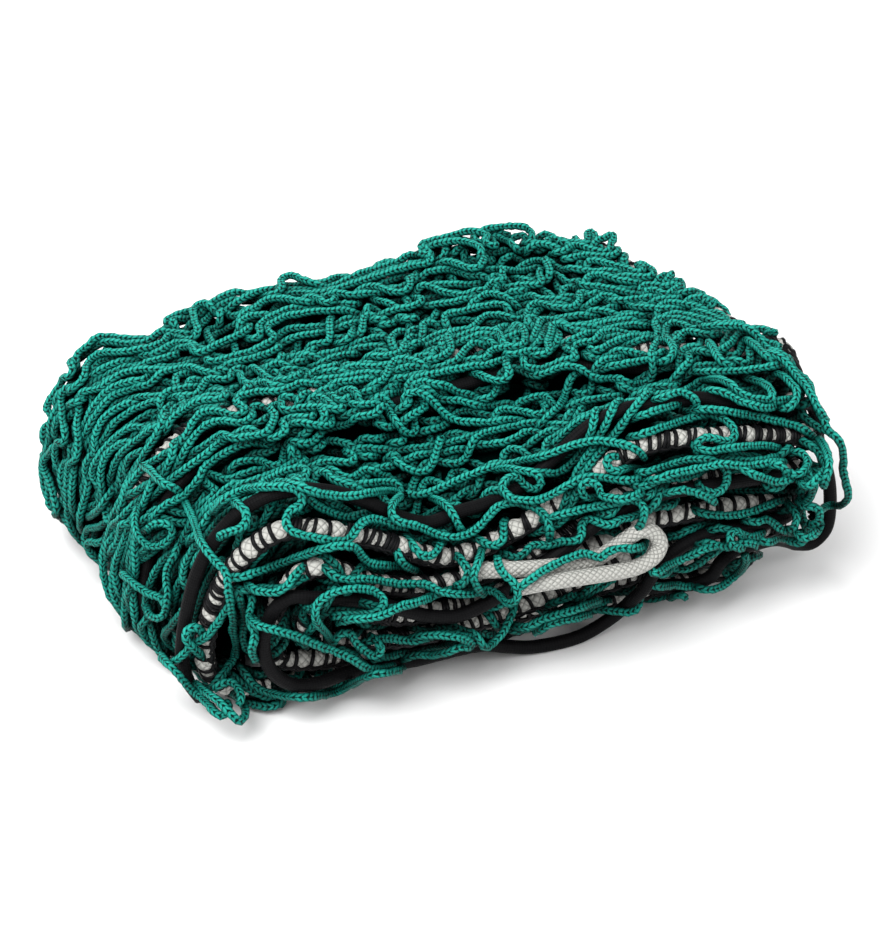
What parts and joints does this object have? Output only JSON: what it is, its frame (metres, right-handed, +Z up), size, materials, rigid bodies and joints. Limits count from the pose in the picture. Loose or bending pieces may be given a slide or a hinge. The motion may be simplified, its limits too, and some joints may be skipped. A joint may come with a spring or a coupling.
{
  "type": "folded cover net",
  "caption": "Knotless green cover net gathered and folded into a flat pack, with white border rope, black elastic cord and a doubled draw cord at its front edge.",
  "frame": {"origin": "on the floor under the middle of the folded pack", "axes": "+X from the folded left end to the right end, +Y from the front edge with the ropes to the back, +Z up"},
  "size_m": [0.2663, 0.1855, 0.0949],
  "materials": {
    "green_netting": "knitted plastic yarn, satin",
    "white_rope": "braided, matt",
    "black_elastic": "woven sheath, satin",
    "white_draw_cord": "braided, satin"
  },
  "bodies": {
    "root": {"net": "green_netting", "border_rope": "white_rope", "set_back_rope": "white_rope", "edge_elastic": "black_elastic", "top_elastic": "black_elastic", "set_back_elastic": "black_elastic", "draw_cord": "white_draw_cord"}
  },
  "joints": []
}
